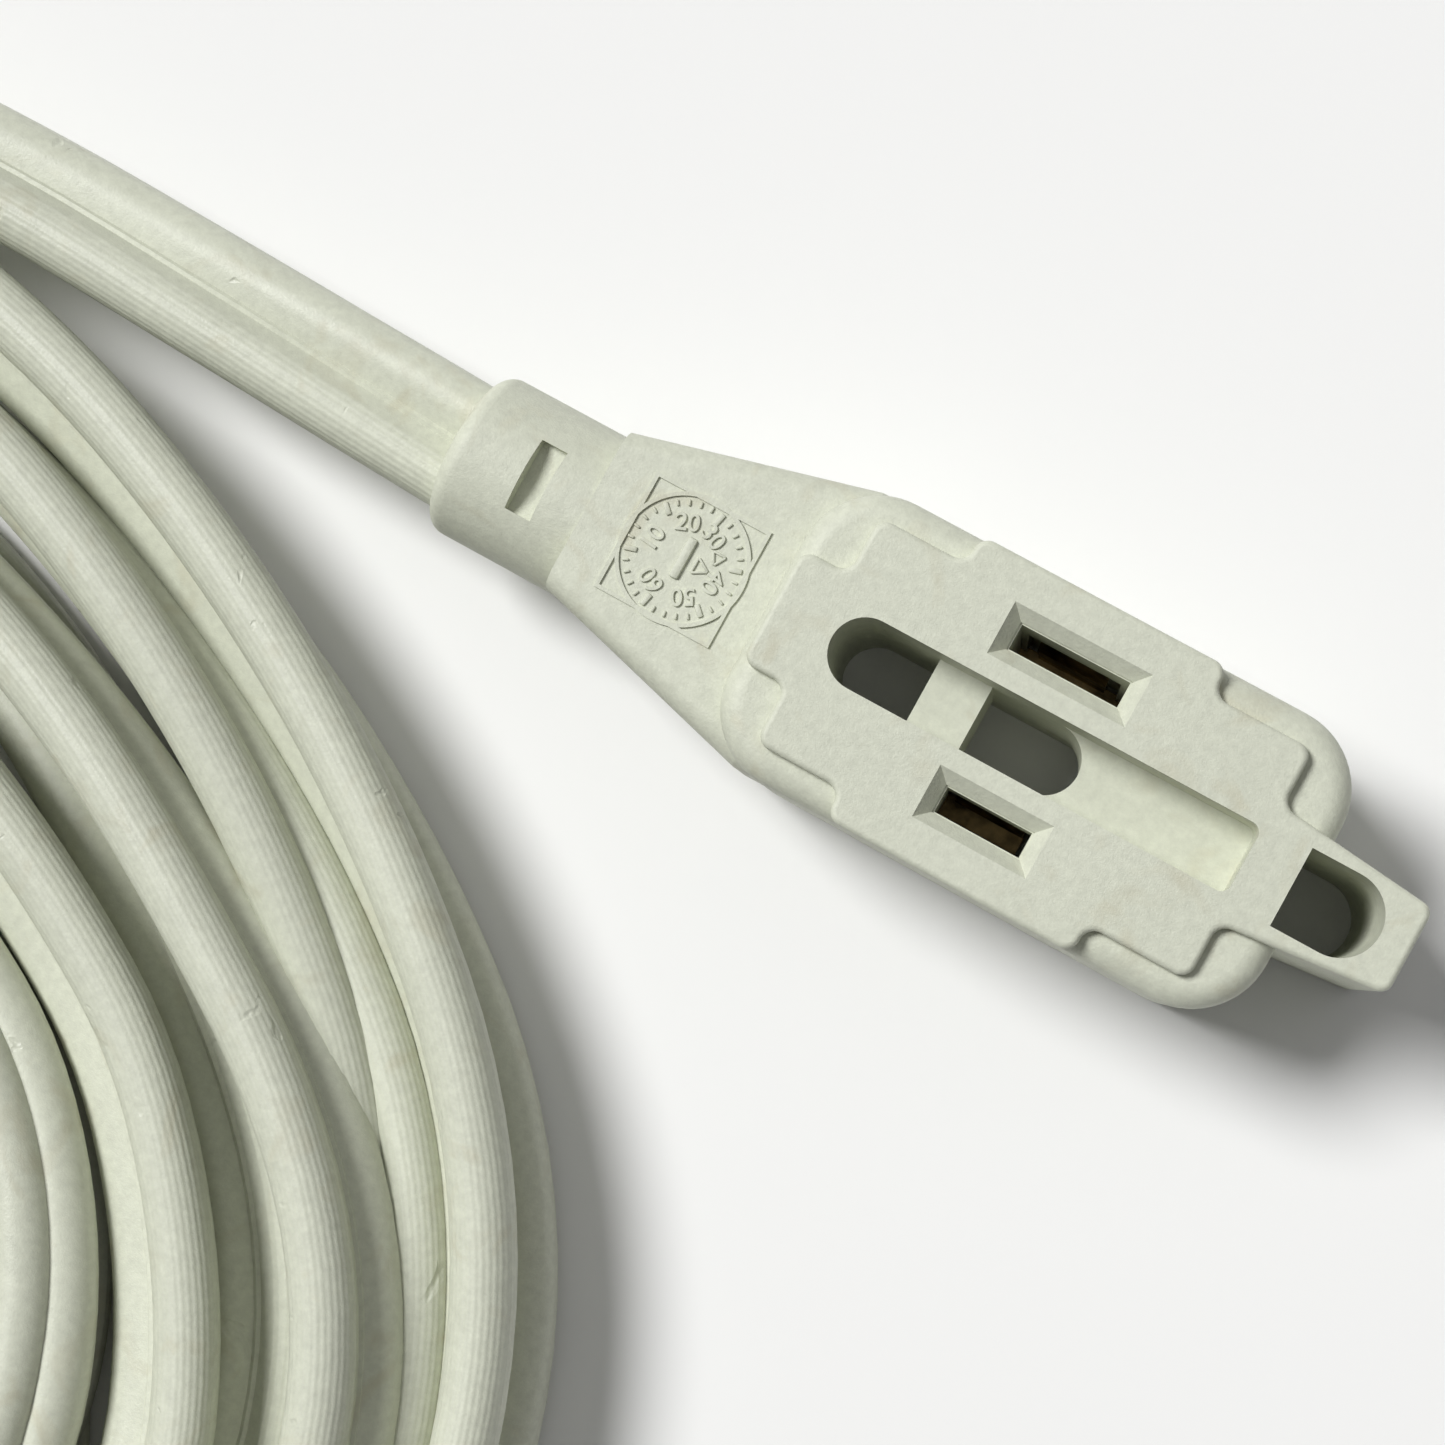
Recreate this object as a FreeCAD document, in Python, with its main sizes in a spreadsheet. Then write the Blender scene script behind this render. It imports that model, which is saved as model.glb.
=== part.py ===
"""Two-pole polarised household extension cord: connector head, coiled flat cord and plug, in millimetres.

The origin lies under the middle of the connector head, on the surface that it rests on. +X runs along the
head towards its nose, +Z is up, out of the outlet on its face. The cord leaves the head's collar towards -X.
"""

import FreeCAD, Part
import math
import os
import re

from FreeCAD import Placement, Rotation, Vector
import Sketcher

# name: (value in millimetres or degrees, what it is)
SIZES = {
    # connector head, measured from the outlet's centre
    "outlet_x": (8.9, "outlet centre, ahead of the origin"),
    "head_height": (20.0, "face to underside"),
    "pad_rise": (1.0, "stepped face above the body"),
    "pad_bed": (2.0, "stepped face bedded in the body"),
    "body_back": (21.2, "outlet centre to the body's rear"),
    "body_front": (22.2, "outlet centre to the body's front"),
    "body_width": (23.0, "across the body"),
    "body_corner": (6.0, "corner radius in plan"),
    "body_edge": (1.8, "rounding of the body's top and bottom edges"),
    "pad_back": (20.6, "outlet centre to the face's rear tongue"),
    "pad_tongue": (9.2, "width of the rear tongue"),
    "pad_back_two": (16.9, "outlet centre to the second step, rear"),
    "pad_front_two": (17.8, "outlet centre to the second step, front"),
    "pad_ear": (2.3, "body's side in to the second step"),
    "pad_half_wide": (9.9, "half length of the full-width part"),
    "pad_corner": (1.1, "rounding of the steps"),
    "pad_edge": (0.45, "rounding of the face's rim"),
    "nose_tip": (30.2, "outlet centre to the nose's tip"),
    "nose_root": (9.4, "nose width where it leaves the body"),
    "nose_end": (6.8, "nose width at its tip"),
    "nose_corner": (0.9, "rounding of the nose's tip"),
    "hole_back": (20.9, "outlet centre to the hanging hole's flat side"),
    "hole_front": (27.8, "outlet centre to the hanging hole's round end"),
    "hole_width": (6.2, "hanging hole's width"),
    "overcut": (1.0, "cutters beyond the moulding"),
    "neck_join": (18.0, "outlet centre to where the neck reaches full width"),
    "neck_back": (36.5, "outlet centre to the neck's rear"),
    "neck_rear_width": (13.1, "neck width at the collar"),
    "neck_height": (13.2, "neck thickness"),
    "neck_step": (0.1, "neck inside the body's side"),
    "neck_edge": (1.6, "rounding along the neck"),
    "collar_back": (48.0, "outlet centre to the collar's rear"),
    "collar_dia": (13.1, "collar diameter"),
    "collar_edge": (1.4, "rounding of the collar's rear edge"),
    "collar_bed": (1.0, "collar bedded in the neck"),
    "pocket_long": (5.75, "collar pocket, across the head"),
    "pocket_wide": (2.15, "collar pocket, along the head"),
    "pocket_x": (40.9, "outlet centre to the collar pocket"),
    "pocket_deep": (1.6, "collar pocket's depth below the crest"),
    "dial_x": (28.35, "outlet centre to the date dial"),
    "dial_side": (9.6, "date dial's square frame"),
    "dial_ring": (10.0, "date dial's outer ring diameter"),
    "dial_line": (0.3, "width of the raised lines"),
    "dial_rise": (0.2, "height of the raised lines"),
    "dial_bed": (0.5, "raised lines bedded in the neck"),
    # outlets
    "pitch": (12.7, "between the two blade slots"),
    "slot_width": (2.2, "blade slot's width"),
    "wide_slot": (9.0, "neutral slot's length"),
    "narrow_slot": (7.1, "hot slot's length"),
    "recess_margin": (1.0, "chamfered recess, beyond the slot"),
    "recess_depth": (1.1, "chamfered recess's depth"),
    "recess_over": (0.6, "chamfer's cutter beyond the face"),
    # window through the head
    "window_back": (15.7, "outlet centre to the window's round end"),
    "window_front": (17.25, "outlet centre to the window's square end"),
    "window_width": (5.4, "window's width"),
    "window_corner": (0.8, "window's square end's corners"),
    "window_depth": (5.0, "face to the inner housing's bar and block"),
    "bar_width": (4.3, "bar across the window"),
    # inner housing
    "lobe_inner": (3.4, "head's centre to the inner side of a lobe"),
    "lobe_cover": (1.3, "soft moulding over and under the lobes"),
    "lobe_wall": (0.9, "lobe's outer wall beside the contact chambers"),
    "lobe_back": (15.4, "outlet centre to the lobes' rear"),
    "lobe_front": (9.9, "outlet centre to the lobes' front"),
    "block_front": (18.6, "outlet centre to the block's front"),
    "floor_wall": (0.6, "housing floor under the contacts"),
    "chamber_depth": (5.4, "face to the roof of the contact chambers"),
    "chamber_clear": (0.2, "round a contact in its chamber"),
    "leaf_room": (1.0, "chamber beyond the ends of the leaves"),
    "channel_high": (1.4, "height of a spine's channel"),
    "rise_front": (9.0, "outlet centre to the room where a spine climbs"),
    "blade_room": (2.0, "width of a blade's tunnel"),
    "slot_step": (0.15, "housing's slots inside the moulding's"),
    "blade_reach_in": (5.6, "neutral side tunnel, beyond the head's middle"),
    # contacts
    "brass": (0.5, "contact strip's thickness"),
    "leaf_long": (5.6, "length of the face contact's leaves"),
    "side_leaf_long": (4.2, "length of the side contact's leaves"),
    "side_leaf_inner": (3.9, "head's centre to the side contact's leaves"),
    "leaf_foot": (3.1, "outside width of a leaf pair at its foot"),
    "leaf_pinch": (1.3, "gap where the leaves pinch a blade"),
    "leaf_mouth": (2.5, "gap at the leaves' mouth"),
    "leaf_knee": (2.8, "leaf's foot to its knee"),
    "leaf_lip": (3.2, "leaf's pinch to its mouth"),
    "leaf_clear": (0.5, "leaf's mouth to the chamber's roof"),
    "spine_width": (2.8, "contact strip's spine"),
    "spine_foot": (10.0, "outlet centre to where a spine starts to climb"),
    "spine_top": (14.6, "outlet centre to where a spine levels out"),
    "spine_tail": (16.4, "outlet centre to a spine's end under the barrel"),
    "spine_bend": (0.3, "upper corner of a spine's climb, ahead of the lower one"),
    "barrel_back": (20.2, "outlet centre to the barrel's rear"),
    "barrel_long": (4.6, "crimp barrel's length"),
    "barrel_wall": (0.6, "crimp barrel's wall"),
    # cord
    "cord_width": (10.2, "flat cord's width"),
    "cord_thick": (4.9, "flat cord's thickness"),
    "strand_dia": (1.7, "bunched copper strands"),
    "core_gap": (0.5, "between the cores where they part"),
    "core_dia": (4.8, "insulated core's diameter"),
    "core_part": (41.0, "outlet centre to where the cores part"),
    "core_spread": (22.0, "outlet centre to where the cores run straight again"),
    "core_stop": (21.4, "outlet centre to the end of a core's insulation"),
    # coil
    "coil_x": (-102.0, "coil's centre"),
    "coil_y": (-80.0, "coil's centre"),
    "coil_long": (106.0, "coil's outer half length"),
    "coil_wide": (76.0, "coil's outer half width"),
    "coil_end": (58.0, "radius of the coil's ends"),
    "coil_high": (19.0, "coil's height"),
    "coil_round": (6.0, "rounding of the coil's top edges"),
    "coil_foot": (3.0, "rounding of the coil's lower edges"),
    "hole_x": (-111.0, "coil opening's centre"),
    "hole_y": (-86.0, "coil opening's centre"),
    "hole_long": (61.0, "coil opening's half length"),
    "hole_wide": (42.0, "coil opening's half width"),
    "hole_end": (34.0, "radius of the opening's ends"),
    "tie_x": (-102.0, "tie, along X"),
    "tie_width": (4.0, "tie's width"),
    "tie_thick": (0.8, "tie's thickness"),
    "tie_gap": (0.15, "between the tie and the coil"),
    # plug
    "plug_x": (-88.0, "plug's cord entry"),
    "plug_y": (-64.0, "plug's cord entry"),
    "plug_turn": (180.0, "plug's direction from X, degrees"),
    "plug_width": (24.6, "plug's width at the face"),
    "plug_thick": (14.0, "plug's thickness at the face"),
    "plug_long": (21.0, "plug's body, face to shoulder"),
    "plug_waist": (19.0, "plug's width at its grip"),
    "plug_shoulder": (15.6, "plug's width at its shoulder"),
    "plug_taper": (3.0, "plug's shoulder to its full grip"),
    "plug_grip": (9.0, "plug's shoulder to the end of its grip"),
    "plug_flare": (5.0, "plug's full-width part behind the face"),
    "plug_edge": (2.2, "rounding of the plug's edges"),
    "relief_long": (19.0, "strain relief's length"),
    "relief_width": (12.4, "strain relief's width at the cord"),
    "relief_thick": (7.2, "strain relief's thickness at the cord"),
    "relief_bed": (1.0, "strain relief bedded in the plug's shoulder"),
    "relief_root_width": (14.8, "strain relief's width at the plug"),
    "relief_root_thick": (10.4, "strain relief's thickness at the plug"),
    "relief_edge": (2.0, "rounding along the strain relief"),
    "relief_slots": (3, "pairs of flexing slots in the strain relief"),
    "relief_slot": (1.4, "width of a flexing slot"),
    "relief_step": (4.4, "from one flexing slot to the next"),
    "relief_first": (3.4, "cord entry to the first flexing slot"),
    "relief_web": (7.2, "strain relief's width left between the slots"),
    "bridge_width": (19.6, "blade bridge's width"),
    "bridge_thick": (9.6, "blade bridge's thickness"),
    "bridge_long": (7.0, "blade bridge's length"),
    "bridge_in": (1.2, "plug's face to the bridge"),
    "blade_root": (0.5, "bridge's rear to a blade's full width"),
    "blade_tail": (2.8, "width of a blade's tail"),
    "tail_lap": (0.3, "blade's tail into its crimp barrel"),
    "plug_barrel": (25.6, "cord entry to the crimp barrels"),
    "plug_part": (14.0, "cord entry to where the cores part"),
    "plug_spread": (24.0, "cord entry to where the cores run straight again"),
    "plug_core_stop": (25.0, "cord entry to the end of a core's insulation"),
    "strand_back": (0.4, "crimp barrel's end to the strands' end"),
    "blade_out": (17.5, "blade's length out of the face"),
    "blade_thick": (1.5, "blade's thickness"),
    "wide_blade": (7.94, "neutral blade's width"),
    "narrow_blade": (6.35, "hot blade's width"),
    "blade_hole": (3.2, "hole in a blade"),
    "blade_hole_at": (11.7, "plug's face to the blade's hole"),
    "blade_tip": (1.6, "chamfer of a blade's tip"),
}

# the lead from the collar to the coil, and the tail from the plug to the coil
LEAD_ROUTE = [
    (-39.1, 0.0, 10.0),
    (-50.0, 0.5, 9.8),
    (-64.0, 1.1, 9.3),
    (-81.0, 1.8, 8.8),
    (-98.0, 1.2, 8.7),
    (-114.0, -2.6, 8.9),
    (-129.0, -9.2, 9.2),
    (-142.5, -18.2, 9.5),
]
TAIL_ROUTE = [
    (-88.0, -64.0, 7.0),
    (-76.0, -64.2, 6.6),
    (-64.4, -67.8, 5.6),
    (-54.6, -74.9, 4.4),
    (-47.5, -84.7, 3.4),
    (-43.7, -96.3, 2.8),
    (-43.0, -108.4, 2.6),
]

doc = FreeCAD.newDocument("ExtensionCord")
sheet = doc.addObject("Spreadsheet::Sheet", "Sizes")
for row, (name, (amount, meaning)) in enumerate(SIZES.items(), start=1):
    sheet.set("A%d" % row, name)
    sheet.set("B%d" % row, str(amount))
    sheet.setAlias("B%d" % row, name)
    sheet.set("C%d" % row, meaning)
doc.recompute()


def size(name):
    """The value of one cell of the sheet."""
    return float(sheet.get(name))


def cells(text):
    """The expression with each name of the sheet written out in full."""

    def written(found):
        return "Sizes." + found.group() if found.group() in SIZES else found.group()

    return re.sub(r"[a-z_]+", written, text)


def value(text):
    """What an expression of the sheet's names comes to."""
    return float(sheet.evalExpression(cells(text)))


def bind(thing, **expressions):
    """Ties properties of an object to expressions of the sheet's names."""
    for name, text in expressions.items():
        thing.setExpression(name.replace("__", "."), cells(text))
    return thing


# --- small makers of document objects ---


def block(name, xs, ys, zs):
    """A box between two expressions along each axis."""
    box = doc.addObject("Part::Box", name)
    bind(box, Length="(%s) - (%s)" % (xs[1], xs[0]), Width="(%s) - (%s)" % (ys[1], ys[0]))
    bind(box, Height="(%s) - (%s)" % (zs[1], zs[0]))
    return bind(box, Placement__Base__x=xs[0], Placement__Base__y=ys[0], Placement__Base__z=zs[0])


def upright(name, x, y, zs, radius):
    """A cylinder along Z."""
    post = doc.addObject("Part::Cylinder", name)
    bind(post, Radius=radius, Height="(%s) - (%s)" % (zs[1], zs[0]))
    return bind(post, Placement__Base__x=x, Placement__Base__y=y, Placement__Base__z=zs[0])


def lengthwise(name, xs, y, z, radius):
    """A cylinder along X."""
    rod = doc.addObject("Part::Cylinder", name)
    rod.Placement = Placement(Vector(), Rotation(Vector(0, 1, 0), 90))
    bind(rod, Radius=radius, Height="(%s) - (%s)" % (xs[1], xs[0]))
    return bind(rod, Placement__Base__x=xs[0], Placement__Base__y=y, Placement__Base__z=z)


def fused(name, shapes):
    """The union of several objects."""
    union = doc.addObject("Part::MultiFuse", name)
    union.Shapes = shapes
    union.Refine = True
    return union


def without(name, base, tool):
    """One object less another."""
    cut = doc.addObject("Part::Cut", name)
    cut.Base = base
    cut.Tool = tool
    cut.Refine = True
    return cut


def shared(name, one, other):
    """What two objects have in common."""
    common = doc.addObject("Part::Common", name)
    common.Base = one
    common.Tool = other
    common.Refine = True
    return common


def rounded(name, base, radius, chosen):
    """An object with the edges rounded that chosen(edge) picks."""
    doc.recompute()
    fillet = doc.addObject("Part::Fillet", name)
    fillet.Base = base
    edges = base.Shape.Edges
    picked = [number for number, edge in enumerate(edges, start=1) if chosen(edge)]
    fillet.Edges = [(number, value(radius), value(radius)) for number in picked]
    return fillet


def plane(body, role):
    """One of a body's own origin planes."""
    return next(feature for feature in body.Origin.OriginFeatures if feature.Role == role)


def newBody(name):
    """An empty PartDesign body."""
    return doc.addObject("PartDesign::Body", name)


def outline(body, name, role, lift, corners):
    """A closed sketch on a plane of the body, each corner held by two expressions."""
    sketch = body.newObject("Sketcher::SketchObject", name)
    sketch.AttachmentSupport = [(plane(body, role), "")]
    sketch.MapMode = "FlatFace"
    sketch.setExpression("AttachmentOffset.Base.z", cells(lift))
    points = [Vector(value(x), value(y), 0) for x, y in corners]
    for number, point in enumerate(points):
        sketch.addGeometry(Part.LineSegment(point, points[(number + 1) % len(points)]), False)
    for number in range(len(points)):
        sketch.addConstraint(Sketcher.Constraint("Coincident", number, 2, (number + 1) % len(points), 1))
    for number, (x, y) in enumerate(corners):
        for kind, text in (("DistanceX", x), ("DistanceY", y)):
            index = sketch.addConstraint(Sketcher.Constraint(kind, -1, 1, number, 1, value(text)))
            sketch.setExpression("Constraints[%d]" % index, cells(text))
    return sketch


def ring(body, name, lift, y, z, radii):
    """A sketch of circles round one centre on the body's YZ plane."""
    sketch = body.newObject("Sketcher::SketchObject", name)
    sketch.AttachmentSupport = [(plane(body, "YZ_Plane"), "")]
    sketch.MapMode = "FlatFace"
    sketch.setExpression("AttachmentOffset.Base.z", cells(lift))
    for number, radius in enumerate(radii):
        circle = Part.Circle(Vector(value(y), value(z), 0), Vector(0, 0, 1), value(radius))
        sketch.addGeometry(circle, False)
        for kind, text in (("DistanceX", y), ("DistanceY", z)):
            index = sketch.addConstraint(Sketcher.Constraint(kind, -1, 1, number, 3, value(text)))
            sketch.setExpression("Constraints[%d]" % index, cells(text))
        index = sketch.addConstraint(Sketcher.Constraint("Radius", number, value(radius)))
        sketch.setExpression("Constraints[%d]" % index, cells(radius))
    return sketch


def pad(body, sketch, length):
    """The sketch's area raised along its normal."""
    feature = body.newObject("PartDesign::Pad", sketch.Name + "_pad")
    feature.Profile = sketch
    bind(feature, Length=length)
    sketch.Visibility = False
    return feature


def soften(body, name, radius, chosen):
    """Rounds the edges of the body that chosen(edge) picks."""
    doc.recompute()
    base = body.Tip
    picked = [
        "Edge%d" % number for number, edge in enumerate(base.Shape.Edges, start=1) if chosen(edge)
    ]
    feature = body.newObject("PartDesign::Fillet", name)
    feature.Base = (base, picked)
    bind(feature, Radius=radius)
    return feature


def runsUp(edge):
    """Whether a straight edge runs along Z."""
    return isinstance(edge.Curve, Part.Line) and abs(edge.Curve.Direction.z) > 0.99


def liesAt(edge, z):
    """Whether all of an edge lies at one height."""
    return abs(edge.BoundBox.ZMin - z) < 0.01 and abs(edge.BoundBox.ZMax - z) < 0.01


# --- connector head: the soft moulding ---

MID = "head_height / 2"
CENTRE = "0"
PAD_TWO = "(body_width / 2 - pad_ear)"
BAR_BACK = "outlet_x - pitch / 2 - bar_width / 2"
BAR_FRONT = "outlet_x - pitch / 2 + bar_width / 2"
BLOCK_BACK = "outlet_x + pitch / 2 - bar_width / 2"
THROUGH = ("-overcut", "head_height + overcut")


def faceOutline():
    """The stepped face with its tongue and nose: one half, from the rear to the nose, then mirrored."""
    half = [
        ("outlet_x - pad_back", "pad_tongue / 2"),
        ("outlet_x - pad_back_two", "pad_tongue / 2"),
        ("outlet_x - pad_back_two", PAD_TWO),
        ("outlet_x - pad_half_wide", PAD_TWO),
        ("outlet_x - pad_half_wide", "body_width / 2"),
        ("outlet_x + pad_half_wide", "body_width / 2"),
        ("outlet_x + pad_half_wide", PAD_TWO),
        ("outlet_x + pad_front_two", PAD_TWO),
        ("outlet_x + pad_front_two", "nose_root / 2"),
        ("outlet_x + nose_tip", "nose_end / 2"),
    ]
    return half + [(x, "-(%s)" % y) for x, y in reversed(half)]


def facePad():
    """The stepped face, bedded in the body, with rounded steps and rim."""
    body = newBody("face_pad")
    bed = "head_height - pad_rise - pad_bed"
    pad(body, outline(body, "face_outline", "XY_Plane", bed, faceOutline()), "pad_rise + pad_bed")
    tip = value("outlet_x + nose_tip")
    soften(body, "face_steps", "pad_corner", lambda e: runsUp(e) and e.BoundBox.XMax < tip - 0.01)
    soften(body, "face_tip", "nose_corner", lambda e: runsUp(e) and e.BoundBox.XMax > tip - 0.01)
    soften(body, "face_rim", "pad_edge", lambda e: liesAt(e, value("head_height")))
    return body


def noseCore():
    """The nose between the two faces."""
    body = newBody("nose_core")
    half = [
        ("outlet_x + pad_half_wide", "nose_root / 2"),
        ("outlet_x + pad_front_two", "nose_root / 2"),
        ("outlet_x + nose_tip", "nose_end / 2"),
    ]
    corners = half + [(x, "-(%s)" % y) for x, y in reversed(half)]
    sketch = outline(body, "nose_outline", "XY_Plane", "pad_rise", corners)
    pad(body, sketch, "head_height - 2 * pad_rise")
    tip = value("outlet_x + nose_tip")
    soften(body, "nose_tip_round", "nose_corner", lambda e: runsUp(e) and e.BoundBox.XMax > tip - 0.01)
    return body


def bodyBlock():
    """The body behind the face: a block with round corners and softened edges."""
    body = newBody("body_block")
    ends = ("outlet_x - body_back", "outlet_x + body_front")
    corners = [(ends[0], "-body_width / 2"), (ends[1], "-body_width / 2")]
    corners += [(ends[1], "body_width / 2"), (ends[0], "body_width / 2")]
    pad(body, outline(body, "body_outline", "XY_Plane", "pad_rise", corners), "head_height - 2 * pad_rise")
    soften(body, "body_corners", "body_corner", runsUp)
    levels = (value("pad_rise"), value("head_height - pad_rise"))
    soften(body, "body_rims", "body_edge", lambda e: any(liesAt(e, z) for z in levels))
    return body


def neckWedge():
    """The flat neck that widens from the collar to the body."""
    body = newBody("neck_wedge")
    join = "body_width / 2 - neck_step"
    half = [
        ("outlet_x - neck_back", "neck_rear_width / 2"),
        ("outlet_x - neck_join", join),
        ("outlet_x - neck_join + body_corner", join),
    ]
    corners = half + [(x, "-(%s)" % y) for x, y in reversed(half)]
    low = MID + " - neck_height / 2"
    pad(body, outline(body, "neck_outline", "XY_Plane", low, corners), "neck_height")
    rear = value("outlet_x - neck_back")
    front = value("outlet_x - neck_join + body_corner")

    def isSide(edge):
        return not runsUp(edge) and edge.BoundBox.XMax > rear + 0.01 and edge.BoundBox.XMin < front - 0.01

    soften(body, "neck_edges", "neck_edge", isSide)
    return body


def collar():
    """The round collar behind the neck, its rear edge rounded."""
    xs = ("outlet_x - collar_back", "outlet_x - neck_back + collar_bed")
    rod = lengthwise("collar_rod", xs, CENTRE, MID, "collar_dia / 2")
    rear = value("outlet_x - collar_back")
    return rounded("collar", rod, "collar_edge", lambda e: e.BoundBox.XMax < rear + 0.01)


def dateDial():
    """The raised square and ring of the date dial on the neck."""
    x = "outlet_x - dial_x"
    top = MID + " + neck_height / 2"
    zs = (top + " - dial_bed", top + " + dial_rise")
    halves = {"dial_square": "dial_side / 2", "dial_square_in": "(dial_side / 2 - dial_line)"}
    squares = [
        block(name, (x + " - " + half, x + " + " + half), ("-" + half, half), zs)
        for name, half in halves.items()
    ]
    radii = {"dial_disc": "dial_ring / 2", "dial_disc_in": "dial_ring / 2 - dial_line"}
    discs = [upright(name, x, CENTRE, zs, radius) for name, radius in radii.items()]
    return [without("dial_frame", *squares), without("dial_circle", *discs)]


def recess(name, facing, x, y, z, length):
    """The chamfered recess round a blade slot, in the top face or in the side."""
    frustum = doc.addObject("Part::Wedge", name)
    if facing == "top":
        frustum.Placement = Placement(Vector(), Rotation(Vector(1, 0, 0), 90))
        across, up, out = x, "-(%s)" % y, z
        spans = {"X": (across, length), "Z": (up, "slot_width")}
    else:
        across, up, out = x, z, y
        spans = {"X": (across, "slot_width"), "Z": (up, length)}
    grown = "recess_margin * (recess_depth + recess_over) / recess_depth"
    for axis, (middle, long) in spans.items():
        low, high = "%s - %s / 2" % (middle, long), "%s + %s / 2" % (middle, long)
        bind(frustum, **{axis + "min": low, axis + "max": high})
        bind(frustum, **{axis + "2min": "%s - %s" % (low, grown), axis + "2max": "%s + %s" % (high, grown)})
    return bind(frustum, Ymin=out + " - recess_depth", Ymax=out + " + recess_over")


def slotCutters(name, facing, x, y, z, length):
    """A blade slot from the face down to the inner housing, and its chamfered recess."""
    along = ("%s - %s / 2" % (x, length), "%s + %s / 2" % (x, length))
    across = ("%s - slot_width / 2" % y, "%s + slot_width / 2" % y)
    deep = (LOBE_ROOF, "%s + recess_over" % z)
    if facing == "side":
        along = ("%s - slot_width / 2" % x, "%s + slot_width / 2" % x)
        across = (LOBE_OUTER, "%s + recess_over" % y)
        deep = ("%s - %s / 2" % (z, length), "%s + %s / 2" % (z, length))
    return [block(name + "_slot", along, across, deep), recess(name + "_recess", facing, x, y, z, length)]


def outletCutters():
    """The outlet on the face, and the one turned a quarter on the head's side."""
    top = "head_height"
    side = "body_width / 2"
    cutters = slotCutters("neutral_top", "top", "outlet_x", "pitch / 2", top, "wide_slot")
    cutters += slotCutters("hot_top", "top", "outlet_x", "-pitch / 2", top, "narrow_slot")
    cutters += slotCutters("neutral_side", "side", "outlet_x + pitch / 2", side, MID, "wide_slot")
    cutters += slotCutters("hot_side", "side", "outlet_x - pitch / 2", side, MID, "narrow_slot")
    return cutters


def windowCutters():
    """The long window: sunk to the inner housing from both faces, and open right through behind the bar."""
    half = "window_width / 2"
    round_x = "outlet_x - window_back + window_width / 2"
    upper = block(
        "window_upper", (round_x, "outlet_x + window_front"), ("-" + half, half),
        ("head_height - window_depth", THROUGH[1]),
    )
    lower = block(
        "window_lower", (round_x, "outlet_x + window_front"), ("-" + half, half), (THROUGH[0], "window_depth")
    )
    rear = block("window_rear", (round_x, BAR_BACK), ("-" + half, half), THROUGH)
    end = upright("window_end", round_x, CENTRE, THROUGH, half)
    corner = value("outlet_x + window_front")
    softened = [
        rounded(name, box, "window_corner", lambda e: runsUp(e) and e.BoundBox.XMin > corner - 0.01)
        for name, box in (("window_upper_round", upper), ("window_lower_round", lower))
    ]
    return softened + [rear, end]


def hangingHoleCutters():
    """The D-shaped hole through the nose."""
    round_x = "outlet_x + hole_front - hole_width / 2"
    half = "hole_width / 2"
    flat = block("hole_flat", ("outlet_x + hole_back", round_x), ("-" + half, half), THROUGH)
    return [flat, upright("hole_round", round_x, CENTRE, THROUGH, half)]


def collarPocket():
    """The shallow pocket in the collar's crest."""
    crest = MID + " + collar_dia / 2"
    return block(
        "collar_pocket",
        ("outlet_x - pocket_x - pocket_wide / 2", "outlet_x - pocket_x + pocket_wide / 2"),
        ("-pocket_long / 2", "pocket_long / 2"),
        (crest + " - pocket_deep", crest + " + overcut"),
    )


# --- connector head: the rigid inner housing ---

LOBE_FLOOR = "lobe_cover"
LOBE_ROOF = "head_height - lobe_cover"
CHAMBER_FLOOR = LOBE_FLOOR + " + floor_wall"
CHAMBER_ROOF = "head_height - chamber_depth"
CHAMBER_HALF = "leaf_foot / 2 + chamber_clear"
LOBE_OUTER = "(pitch / 2 + " + CHAMBER_HALF + " + lobe_wall)"
BARREL_OUT = "(strand_dia / 2 + barrel_wall)"


def housingForm():
    """Two lobes joined by the bar and the block that show in the window."""
    lobe_x = ("outlet_x - lobe_back", "outlet_x + lobe_front")
    left = block("lobe_neutral", lobe_x, ("lobe_inner", LOBE_OUTER), (LOBE_FLOOR, LOBE_ROOF))
    right = block("lobe_hot", lobe_x, ("-" + LOBE_OUTER, "-lobe_inner"), (LOBE_FLOOR, LOBE_ROOF))
    slab = block(
        "slab", (BAR_BACK, "outlet_x + block_front"), ("-" + LOBE_OUTER, LOBE_OUTER),
        ("window_depth", "head_height - window_depth"),
    )
    return fused("housing_form", [left, right, slab])


def throughHole():
    """The hole between bar and block, round at the block's end."""
    half = "window_width / 2"
    round_x = BLOCK_BACK + " - window_width / 2"
    flat = block("hole_mid_flat", (BAR_FRONT, round_x), ("-" + half, half), THROUGH)
    return [flat, upright("hole_mid_round", round_x, CENTRE, THROUGH, half)]


def chamber(name, xs, ys, zs=(CHAMBER_FLOOR, CHAMBER_ROOF)):
    """A hollow of the housing for a contact or a blade."""
    return block(name, xs, ys, zs)


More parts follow.
